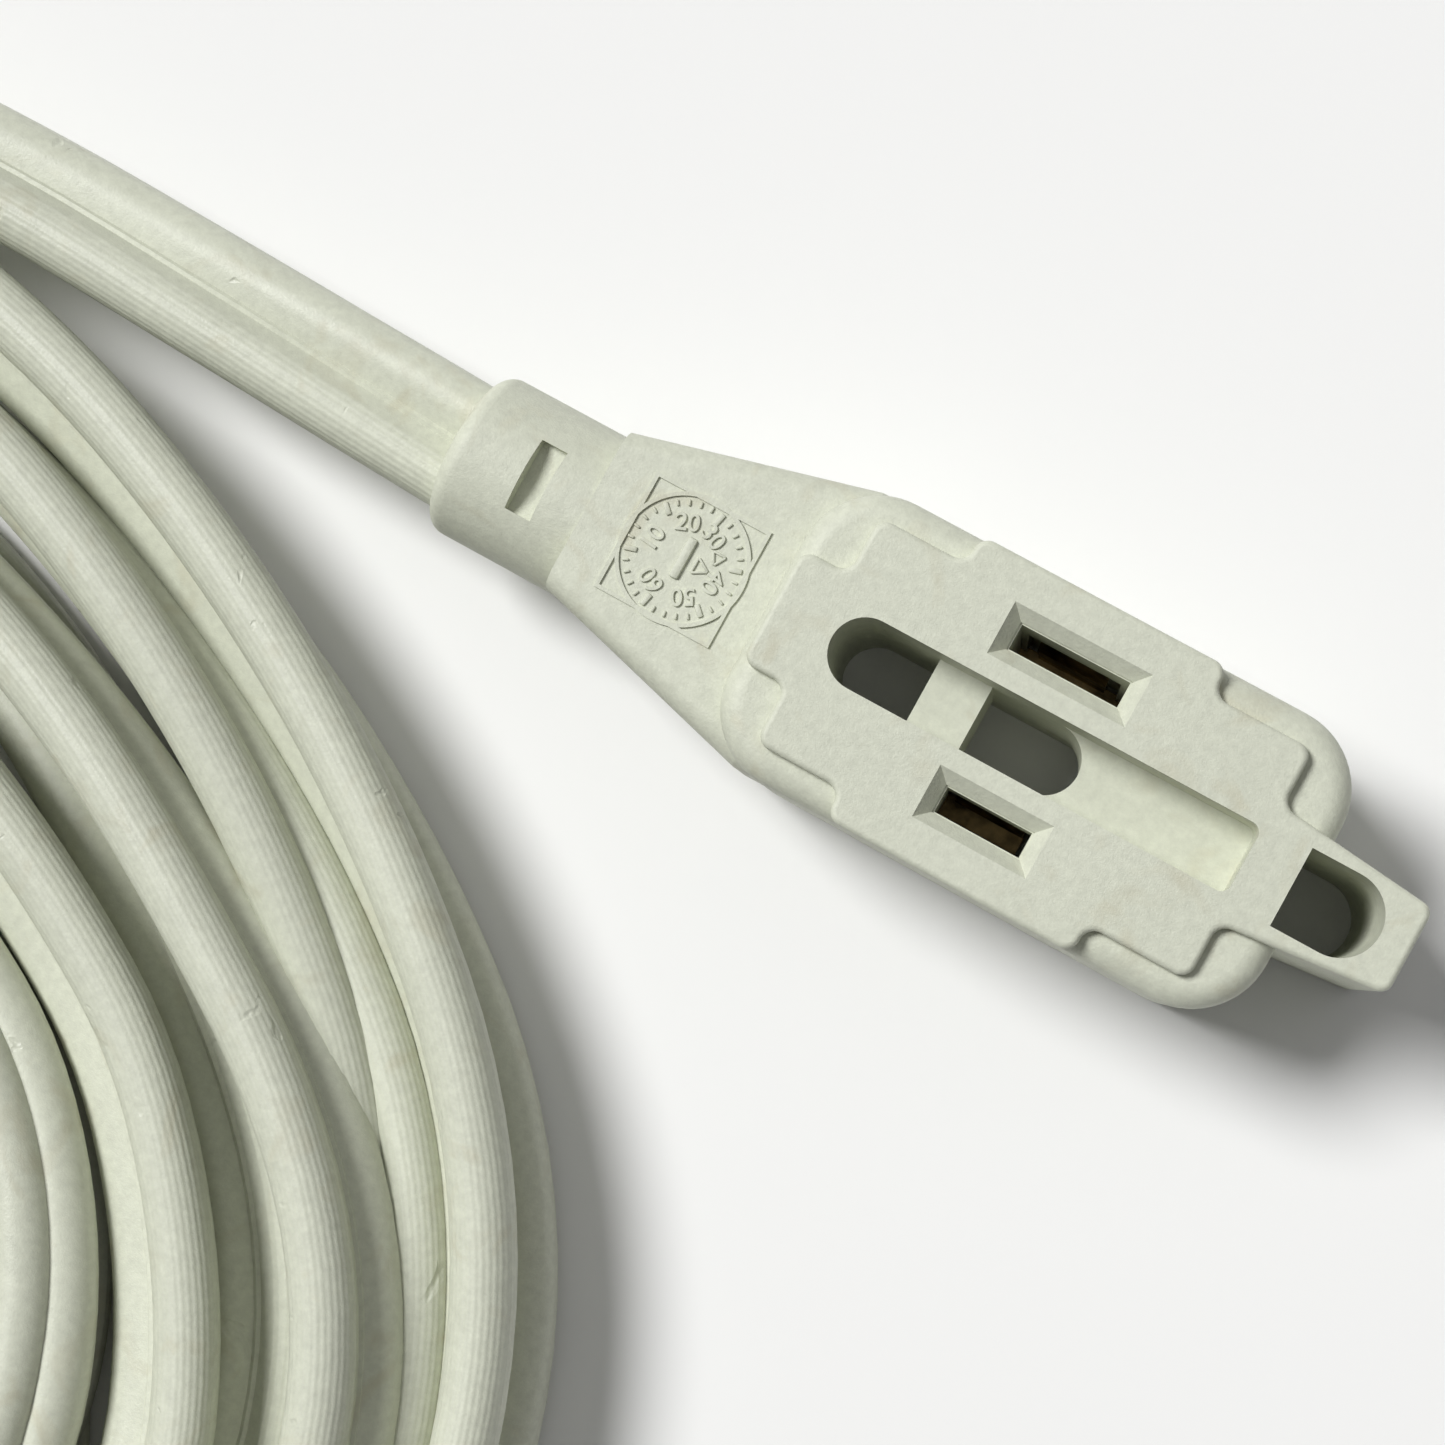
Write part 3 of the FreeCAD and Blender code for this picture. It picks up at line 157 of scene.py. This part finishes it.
# each turn at those stations: how far in from the coil's outside, how high, and how it is rolled
turns = [
    (
        (5.0, 13.2, 0), (4.7, 11.6, 0), (4.7, 11.2, 30), (4.7, 10.4, 80),
        (4.6, 9.9, 106), (5.4, 9.8, 118), (4.8, 9.8, 112), (4.1, 9.8, 110),
        (3.7, 9.6, 124), (2.8, 9.4, 126), (2.6, 9.8, 105), (3.6, 8.8, 75),
    ),
    (
        (5.2, 7.1, 60), (4.7, 7.0, 60), (5.0, 6.8, 64), (6.2, 6.2, 80),
        (8.2, 6.0, 90), (9.9, 6.2, 96), (10.1, 6.0, 96), (10.0, 5.6, 94),
        (9.8, 5.2, 90), (9.4, 5.2, 84), (8.4, 6.4, 60), (6.4, 5.0, 30),
    ),
    (
        (5.4, 2.6, 0), (4.7, 2.6, 0), (4.8, 2.6, 0), (5.0, 2.6, 0),
        (5.1, 2.6, 0), (5.1, 2.6, 0), (5.2, 2.6, 0), (5.6, 2.6, 0),
        (6.6, 2.6, 0), (7.0, 2.6, 0), (9.2, 2.6, 0), (11.4, 4.0, 0),
    ),
    (
        (14.4, 7.2, 0), (14.0, 7.0, 0), (14.2, 6.4, 20), (15.0, 5.4, 55),
        (15.4, 5.2, 78), (14.6, 5.4, 88), (13.6, 6.4, 90), (12.7, 7.8, 92),
        (11.2, 9.8, 103), (10.0, 10.4, 106), (11.6, 11.8, 70), (13.6, 12.6, 25),
    ),
    (
        (14.6, 11.9, 8), (14.0, 11.7, 0), (12.8, 12.0, 15), (11.6, 12.6, 40),
        (12.2, 13.2, 58), (13.9, 13.4, 62), (15.8, 13.0, 62), (17.6, 12.4, 66),
        (18.6, 11.4, 80), (18.6, 10.6, 84), (19.4, 9.0, 112), (20.4, 4.8, 152),
    ),
    (
        (16.4, 2.7, 176), (14.0, 2.6, 180), (16.6, 2.6, 180), (20.0, 3.6, 180),
        (20.8, 4.2, 176), (23.1, 4.0, 174), (24.4, 3.9, 172), (24.6, 3.6, 172),
        (21.6, 2.7, 180), (20.6, 2.6, 180), (24.2, 3.0, 180), (28.0, 5.8, 180),
    ),
    (
        (26.0, 7.2, 180), (23.3, 7.0, 180), (23.0, 8.6, 175), (22.6, 11.0, 160),
        (25.8, 9.6, 144), (30.0, 9.0, 140), (30.9, 8.8, 138), (31.2, 8.8, 134),
        (30.8, 9.0, 132), (30.0, 9.2, 130), (28.8, 9.8, 150), (26.4, 11.4, 172),
    ),
    (
        (25.2, 11.9, 180), (23.3, 11.6, 180), (29.6, 12.2, 225), (31.0, 9.2, 300),
        (34.8, 8.6, 282), (37.8, 7.6, 274), (38.4, 6.8, 270), (38.8, 6.4, 270),
        (38.2, 6.6, 280), (36.4, 7.2, 300), (34.0, 10.4, 318), (28.0, 15.8, 350),
    ),
    (
        (20.6, 16.6, 360), (18.6, 15.4, 360), (22.4, 16.4, 360), (33.4, 14.0, 356),
        (40.2, 12.2, 352), (43.2, 11.4, 352), (44.6, 10.8, 350), (45.2, 10.4, 350),
        (44.8, 10.0, 346), (43.6, 9.2, 338), (40.8, 6.8, 330), (37.0, 4.2, 340),
    ),
    (
        (33.0, 2.6, 360), (23.3, 2.6, 360), (24.8, 2.6, 360), (27.0, 2.7, 364),
    ),
]


def outerReach(degrees):
    # from the coil's centre to its outside, an oval of two end arcs and two flatter side arcs
    long, wide, tight = coil["halfLong"], coil["halfWide"], coil["endRadius"]
    side = ((long - tight) ** 2 + wide**2 - tight**2) / (2 * (wide - tight))
    across, up = abs(math.cos(math.radians(degrees))), abs(math.sin(math.radians(degrees)))
    endCentre, sideCentre = long - tight, wide - side
    reach = endCentre * across + math.sqrt(tight**2 - (endCentre * up) ** 2)
    if reach * up * endCentre > -sideCentre * (reach * across - endCentre):
        reach = sideCentre * up + math.sqrt(side**2 - (sideCentre * across) ** 2)
    return reach


def between(knots, at):
    # a smooth line through the knots, each an angle and a value
    last = len(knots) - 1
    n = max(i for i in range(last) if i == 0 or knots[i][0] <= at)
    (a, start), (b, end) = knots[n], knots[n + 1]

    def slope(i):
        low, high = knots[max(i - 1, 0)], knots[min(i + 1, last)]
        return (high[1] - low[1]) / (high[0] - low[0])

    run = b - a
    t = (at - a) / run
    return (
        (2 * t**3 - 3 * t**2 + 1) * start
        + (t**3 - 2 * t**2 + t) * run * slope(n)
        + (3 * t**2 - 2 * t**3) * end
        + (t**3 - t**2) * run * slope(n + 1)
    )


def coilLines():
    # how far in, how high and how rolled, each as knots along the whole coil
    lines = [[], [], []]
    for n, turn in enumerate(turns):
        for angle, place in zip(stations, turn):
            for line, value in zip(lines, place):
                line.append((360 * n + angle, value))
    return lines


def coilRoute():
    lines = coilLines()
    first, last = lines[0][0][0], lines[0][-1][0]
    angle = coil["start"]
    end = 360 * (len(turns) - 1) + coil["end"]
    places = []
    while angle <= end:
        inset, height, roll = (between(line, min(max(angle, first), last)) for line in lines)
        reach = outerReach(angle) - inset
        turn = math.radians(angle)
        x = coil["centre"][0] + reach * math.cos(turn)
        y = coil["centre"][1] + reach * math.sin(turn)
        places.append((x, y, height, roll))
        inTurn = (angle - stations[0]) % 360 + stations[0]
        close = coil["close"][0] <= inTurn <= coil["close"][1]
        angle += cord["closeStep"] if close else cord["step"]
    # the spline cuts inside its points, so each stands out by an eighth of its bend
    route = [places[0]]
    for before, place, after in zip(places, places[1:], places[2:]):
        x, y = (place[i] - (before[i] - 2 * place[i] + after[i]) / 8 for i in (0, 1))
        route.append((x, y, *place[2:]))
    route.append(places[-1])
    return route


def cordLine(route):
    data = bpy.data.curves.new("cordLine", "CURVE")
    data.dimensions = "3D"
    data.twist_mode = "Z_UP"
    data.resolution_u = cord["sections"]
    spline = data.splines.new("NURBS")
    spline.points.add(len(route) - 1)
    for point, (x, y, z, roll) in zip(spline.points, route):
        point.co = (x * mm, y * mm, z * mm, 1)
        point.tilt = math.radians(roll)
    spline.order_u = 3
    spline.use_endpoint_u = True
    return addObject("cordLine", data)


def profilePoints():
    # two cores side by side, one smooth and one ribbed, with a shallow groove between them
    core = cord["thick"] / 2
    off = cord["width"] / 2 - core
    away = math.hypot(off, cord["groove"])
    start = math.pi - math.atan2(cord["groove"], off) - math.acos(core / away)
    side = cord["bead"]
    foot = cord["groove"] + cord["beadFoot"]
    top = cord["groove"] + cord["beadTop"]
    points = []
    for n in range(cord["facets"] + 1):
        angle = -start + 2 * start * n / cord["facets"]
        points.append((off + core * math.cos(angle), core * math.sin(angle)))
    points += [(side, foot), (0, top), (-side, foot)]
    turn = 2 * start / cord["ribs"]
    half = cord["ribWide"] / 2 / core
    crest = core + cord["ribHigh"]
    for n in range(cord["ribs"]):
        middle = math.pi - start + turn * (n + 0.5)
        for angle, radius in ((middle - half, core), (middle, crest), (middle + half, core)):
            points.append((-off + radius * math.cos(angle), radius * math.sin(angle)))
    points += [(-side, -foot), (0, -top), (side, -foot)]
    return points


def cordProfile():
    points = profilePoints()
    data = bpy.data.curves.new("cordProfile", "CURVE")
    data.dimensions = "2D"
    spline = data.splines.new("POLY")
    spline.points.add(len(points) - 1)
    for point, (x, y) in zip(spline.points, points):
        point.co = (x * mm, y * mm, 0, 1)
    spline.use_cyclic_u = True
    return addObject("cordProfile", data)


def makeCord():
    line = cordLine(lead + coilRoute() + tail)
    now = bpy.context.evaluated_depsgraph_get()
    bare = bpy.data.meshes.new_from_object(line.evaluated_get(now))
    path = [vertex.co.copy() for vertex in bare.vertices]
    profile = cordProfile()
    line.data.bevel_mode = "OBJECT"
    line.data.bevel_object = profile
    line.data.use_fill_caps = True
    onlySelect(line)
    bpy.ops.object.convert(target="MESH")
    piece = bpy.context.object
    piece.name = "flatCord"
    bpy.data.objects.remove(profile)
    bpy.ops.object.mode_set(mode="EDIT")
    bpy.ops.mesh.select_all(action="SELECT")
    bpy.ops.mesh.normals_make_consistent(inside=False)
    bpy.ops.object.mode_set(mode="OBJECT")
    bpy.ops.object.shade_smooth_by_angle(angle=math.radians(cord["crease"]))
    length = sum((b - a).length for a, b in zip(path, path[1:]))
    print("cord", round(length, 3), "m,", 2 * len(piece.data.polygons), "triangles")
    return piece, path, length


flatCord, cordPath, cordLength = makeCord()


# date dial, raised from the neck's top, in mm and degrees

dial = {
    "place": (-19.45, 0.0, 16.6),
    "lean": 119.2,  # from the head's length to the top of the dial
    "rise": 0.2,
    "edge": 0.09,  # bevel along each bar
    "barFoot": 0.1,  # how deep a bar or a number stands in the neck
    "numberFoot": 0.05,
    "numberEdge": 0.03,
    "pointer": (0, 0.1, 3.3, 0.75, 90),  # x, y, length, width and turn
    "pointerRise": 0.36,
    "pointerEdge": 0.33,  # as round as its height lets it be
    "numbers": ("10", "20", "30", "40", "50", "60"),
    "numbersAt": (-54, 8, 54, 128, 180, 238),  # clockwise from the top
    "ringOfNumbers": 2.7,
    "letter": 1.85,
    "ticks": 30,
    "firstTick": 17,  # counter-clockwise from the top
    "longEvery": 5,
    "tickRim": 4.45,  # the ticks' outer ends
    "tick": (0.5, 0.2),  # length and width
    "longTick": (1.0, 0.4),
    "arrows": ((1.35, 0.05, 1.25, 119), (2.2, 1.3, 1.05, 29)),  # x, y, side and turn
    "arrowStroke": 0.2,
    "arrowInside": 0.289,  # from a triangle's middle to its side, for a side of 1
    "crease": 40,
}


def raisedBar(x, y, length, width, turn, rise=dial["rise"], edge=dial["edge"]):
    px, py, pz = dial["place"]
    foot = dial["barFoot"]
    bpy.ops.mesh.primitive_cube_add(
        size=1,
        location=((px + x) * mm, (py + y) * mm, (pz + (rise - foot) / 2) * mm),
        rotation=(0, 0, math.radians(turn)),
    )
    bar = bpy.context.object
    bar.scale = (length * mm, width * mm, (rise + foot) * mm)
    bpy.ops.object.transform_apply(location=True, rotation=True, scale=True)
    soften = bar.modifiers.new("soften", "BEVEL")
    soften.width = edge * mm
    soften.segments = 2
    bpy.ops.object.modifier_apply(modifier="soften")
    return bar


def raisedNumber(text, angle):
    px, py, pz = dial["place"]
    turn = math.radians(angle)
    half = (dial["rise"] + dial["numberFoot"] - dial["numberEdge"]) / 2
    bpy.ops.object.text_add(
        location=(
            (px + dial["ringOfNumbers"] * math.cos(turn)) * mm,
            (py + dial["ringOfNumbers"] * math.sin(turn)) * mm,
            (pz - dial["numberFoot"] + half) * mm,
        ),
        rotation=(0, 0, turn - math.pi / 2),
    )
    words = bpy.context.object
    words.data.body = text
    words.data.size = dial["letter"] * mm
    words.data.align_x = words.data.align_y = "CENTER"
    words.data.extrude = half * mm
    words.data.bevel_depth = dial["numberEdge"] * mm
    bpy.ops.object.convert(target="MESH")
    bpy.ops.object.transform_apply(location=True, rotation=True, scale=True)
    return bpy.context.object


def dialTick(n):
    angle = dial["lean"] + dial["firstTick"] - 360 * n / dial["ticks"]
    length, width = dial["tick"] if n % dial["longEvery"] else dial["longTick"]
    reach = dial["tickRim"] - length / 2
    turn = math.radians(angle)
    return raisedBar(reach * math.cos(turn), reach * math.sin(turn), length, width, angle)


def dialArrow(x, y, side, turn):
    # a triangle of three bars
    bars = []
    off = side * dial["arrowInside"]
    for n in range(3):
        lean = turn + 120 * n
        barX = x - off * math.cos(math.radians(lean))
        barY = y - off * math.sin(math.radians(lean))
        bars.append(raisedBar(barX, barY, side, dial["arrowStroke"], lean + 90))
    return bars


def makeDial():
    parts = [raisedBar(*dial["pointer"], dial["pointerRise"], dial["pointerEdge"])]
    for number, angle in zip(dial["numbers"], dial["numbersAt"]):
        parts.append(raisedNumber(number, dial["lean"] - angle))
    for n in range(dial["ticks"]):
        parts.append(dialTick(n))
    for arrow in dial["arrows"]:
        parts += dialArrow(*arrow)
    bpy.ops.object.select_all(action="DESELECT")
    for part in parts:
        part.select_set(True)
    bpy.context.view_layer.objects.active = parts[0]
    bpy.ops.object.join()
    marks = bpy.context.object
    marks.name = "dialMarks"
    scene.cursor.location = (0, 0, 0)
    bpy.ops.object.origin_set(type="ORIGIN_CURSOR")
    bpy.ops.object.shade_smooth_by_angle(angle=math.radians(dial["crease"]))
    return marks


dialMarks = makeDial()
print("dial marked")


# finishes


def addNode(material, kind, settings, **links):
    # a node with its own settings, its inputs linked by name from other nodes' outputs
    node = material.node_tree.nodes.new(kind)
    for key, value in settings.items():
        if key in node.inputs:
            node.inputs[key].default_value = value
        else:
            setattr(node, key, value)
    for name, source in links.items():
        material.node_tree.links.new(source, node.inputs[name])
    return node


def startMaterial(name):
    material = bpy.data.materials.new(name)
    material.use_nodes = True
    shader = material.node_tree.nodes["Principled BSDF"]
    place = addNode(material, "ShaderNodeTexCoord", {}).outputs["Object"]
    return material, shader, place


def noise(material, place, settings):
    return addNode(material, "ShaderNodeTexNoise", settings, Vector=place).outputs["Fac"]


def remap(material, value, run, least, most):
    # least where the value is at the run's start, most at its end
    settings = {"From Min": run[0], "From Max": run[1], "To Min": least, "To Max": most}
    return addNode(material, "ShaderNodeMapRange", settings, Value=value).outputs["Result"]


def twoTone(material, value, run, dark, light):
    ramp = addNode(material, "ShaderNodeValToRGB", {}, Fac=value)
    for element, position, colour in zip(ramp.color_ramp.elements, run, (dark, light)):
        element.position = position
        element.color = (*colour, 1)
    return ramp.outputs["Color"]


def relief(material, height, strength, depth, below=None):
    # a bump on the surface, or on the bump below it
    sources = {"Height": height} if below is None else {"Height": height, "Normal": below}
    settings = {"Strength": strength, "Distance": depth * mm}
    return addNode(material, "ShaderNodeBump", settings, **sources).outputs["Normal"]


vinylLook = {
    "ior": 1.5,
    # broad patches, a little darker and glossier
    "cloud": {"Scale": 55, "Detail": 5, "Roughness": 0.6},
    "cloudRun": (0.3, 0.7),
    "cloudShade": 0.93,
    "roughVary": 0.1,
    # fine mottle in the moulding
    "mottle": {"Scale": 1300, "Detail": 4, "Roughness": 0.7},
    "mottleRun": (0.3, 0.7),
    "mottleShade": (0.91, 1.07),
    # faint brown smears from handling
    "smear": {"Scale": 170, "Detail": 3, "Distortion": 1.2},
    "smearRun": (0.58, 0.74),
    "smearMost": 0.5,
    "smearTint": (0.8, 0.74, 0.66),
    # the mould's grain, with depths in mm
    "grain": {"Scale": 4200, "Detail": 4, "Roughness": 0.7},
    "grainDepth": 0.1,
    # sparse nicks
    "nick": {"Scale": 260, "Detail": 3, "Distortion": 0.6},
    "nickRun": (0.7, 0.8),
    "nickDepth": 0.3,
    # the raised line where the mould's halves meet: how far off it starts to fall, and ends
    "seamRun": (0.03, 0.11),
    "seamStrength": 0.8,
    "seamDepth": 0.1,
}


def vinylColour(material, place, cloud, colour):
    shade = [channel * vinylLook["cloudShade"] for channel in colour]
    tint = twoTone(material, cloud, vinylLook["cloudRun"], shade, colour)
    mottle = noise(material, place, vinylLook["mottle"])
    speckled = addNode(
        material, "ShaderNodeVectorMath", {"operation": "SCALE"},
        Vector=tint,
        Scale=remap(material, mottle, vinylLook["mottleRun"], *vinylLook["mottleShade"]),
    )
    smear = noise(material, place, vinylLook["smear"])
    soiled = addNode(
        material, "ShaderNodeMix", {"data_type": "RGBA"},
        Factor=remap(material, smear, vinylLook["smearRun"], 0, vinylLook["smearMost"]),
        A=speckled.outputs["Vector"],
    )
    brown = [channel * part for channel, part in zip(colour, vinylLook["smearTint"])]
    soiled.inputs["B"].default_value = (*brown, 1)
    return soiled.outputs["Result"]


def seamRidge(material, place, height):
    # 1 along a level line at that height, and 0 beside it
    apart = addNode(material, "ShaderNodeSeparateXYZ", {}, Vector=place)
    above = addNode(material, "ShaderNodeMath", {"operation": "SUBTRACT"})
    material.node_tree.links.new(apart.outputs["Z"], above.inputs[0])
    above.inputs[1].default_value = height * mm
    away = addNode(material, "ShaderNodeMath", {"operation": "ABSOLUTE"})
    material.node_tree.links.new(above.outputs[0], away.inputs[0])
    run = [distance * mm for distance in vinylLook["seamRun"]]
    return remap(material, away.outputs[0], run, 1, 0)


def vinyl(name, colour, grain, rough, nicks=0.0, seam=None):
    # grain and nicks are strengths, and seam is the height of the mould's parting line in mm
    material, shader, place = startMaterial(name)
    links = material.node_tree.links
    shader.inputs["IOR"].default_value = vinylLook["ior"]
    cloud = noise(material, place, vinylLook["cloud"])
    links.new(vinylColour(material, place, cloud, colour), shader.inputs["Base Color"])
    vary = vinylLook["roughVary"]
    links.new(remap(material, cloud, (0, 1), rough - vary, rough + vary), shader.inputs["Roughness"])
    fine = noise(material, place, vinylLook["grain"])
    surface = relief(material, fine, grain, vinylLook["grainDepth"])
    if nicks:
        pits = remap(material, noise(material, place, vinylLook["nick"]), vinylLook["nickRun"], 1, 0)
        surface = relief(material, pits, nicks, vinylLook["nickDepth"], surface)
    if seam is not None:
        ridge = seamRidge(material, place, seam)
        surface = relief(material, ridge, vinylLook["seamStrength"], vinylLook["seamDepth"], surface)
    links.new(surface, shader.inputs["Normal"])
    return material


metalLook = {
    "cloud": {"Scale": 500, "Detail": 5},
    "cloudRun": (0.35, 0.65),
    "roughVary": 0.1,
}


def metal(name, colour, rough, tarnishAndShade):
    # the last argument is how much of the colour is left in the dark patches, which are tarnish on the
    # blades and strands but painted shade on the contacts deep in the slots
    material, shader, place = startMaterial(name)
    links = material.node_tree.links
    shader.inputs["Metallic"].default_value = 1
    cloud = noise(material, place, metalLook["cloud"])
    darkPatch = [channel * tarnishAndShade for channel in colour]
    links.new(twoTone(material, cloud, metalLook["cloudRun"], darkPatch, colour), shader.inputs["Base Color"])
    vary = metalLook["roughVary"]
    links.new(remap(material, cloud, (0, 1), rough - vary, rough + vary), shader.inputs["Roughness"])
    return material


ivory = (0.66, 0.68, 0.56)
headSeam = boxOf("connector_overmould")[0][2]
plugSeam = boxOf("plug_overmould")[0][2]
headVinyl = vinyl("headVinyl", ivory, grain=0.5, rough=0.52, seam=headSeam)
plugVinyl = vinyl("plugVinyl", ivory, grain=0.5, rough=0.52, seam=plugSeam)
cordVinyl = vinyl("cordVinyl", ivory, grain=0.35, rough=0.4, nicks=0.5)
housingPlastic = vinyl("housingPlastic", (0.65, 0.67, 0.55), grain=0.12, rough=0.42)
bladeBrass = metal("bladeBrass", (0.76, 0.58, 0.3), rough=0.3, tarnishAndShade=0.8)
# the same brass, darker all over and nearly black in patches: painted shade for the contacts deep in the
# blade slots
shadedContactBrass = metal("shadedContactBrass", (0.5, 0.36, 0.16), rough=0.4, tarnishAndShade=0.12)
copper = metal("copper", (0.72, 0.36, 0.22), rough=0.35, tarnishAndShade=0.7)
tiePlastic = vinyl("tiePlastic", (0.8, 0.8, 0.76), grain=0.1, rough=0.35)

cadFinish = {
    headVinyl: ["connector_overmould"],
    plugVinyl: ["plug_overmould"],
    housingPlastic: ["housing_upper", "housing_lower", "plug_bridge"],
    cordVinyl: [
        "neutral_core", "hot_core", "plug_neutral_core", "plug_hot_core",
        "cord_lead", "cord_coil", "cord_tail",
    ],
    shadedContactBrass: ["neutral_contact", "hot_contact"],
    bladeBrass: ["neutral_blade", "hot_blade"],
    copper: ["neutral_strands", "hot_strands", "plug_neutral_strands", "plug_hot_strands"],
    tiePlastic: ["cord_tie"],
}
for material, names in cadFinish.items():
    for name in names:
        coat(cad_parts[name], material)

coat(flatCord, cordVinyl)
coat(dialMarks, headVinyl)
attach(dialMarks, "root")
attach(flatCord, "root")
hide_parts("cord_lead", "cord_coil", "cord_tail")

print("finishes on")


# floor and light

room = {
    "floorWide": 40,  # metres
    "floorDrop": 0.02,  # mm, so that the object's underside isn't in the floor
    "floorColour": (0.9, 0.9, 0.89),
    "floorRough": 0.9,
    "glow": 0.1,  # white light from all round
    # the direction of each sun, how wide it is in degrees, and its power
    "suns": {
        "key": ((-0.61, 0.07, 0.79), 22, 3.1),
        "fill": ((0.1, 0.35, 0.93), 60, 0.35),
    },
}


def makeFloor():
    bpy.ops.mesh.primitive_plane_add(size=room["floorWide"], location=(0, 0, -room["floorDrop"] * mm))
    floor = bpy.context.object
    floor.name = "floor"
    material = bpy.data.materials.new("floor")
    material.use_nodes = True
    shader = material.node_tree.nodes["Principled BSDF"]
    shader.inputs["Base Color"].default_value = (*room["floorColour"], 1)
    shader.inputs["Roughness"].default_value = room["floorRough"]
    floor.data.materials.append(material)


def makeLight():
    world = bpy.data.worlds.new("room")
    world.use_nodes = True
    background = world.node_tree.nodes["Background"]
    background.inputs["Color"].default_value = (1, 1, 1, 1)
    background.inputs["Strength"].default_value = room["glow"]
    scene.world = world
    for name, (towards, wide, power) in room["suns"].items():
        data = bpy.data.lights.new(name, "SUN")
        data.angle = math.radians(wide)
        data.energy = power
        lamp = addObject(name, data)
        lamp.location = Vector(towards)
        lamp.rotation_euler = Vector(towards).to_track_quat("Z", "Y").to_euler()


makeFloor()
makeLight()
scene.view_settings.view_transform = "Standard"
print("floor and light set")
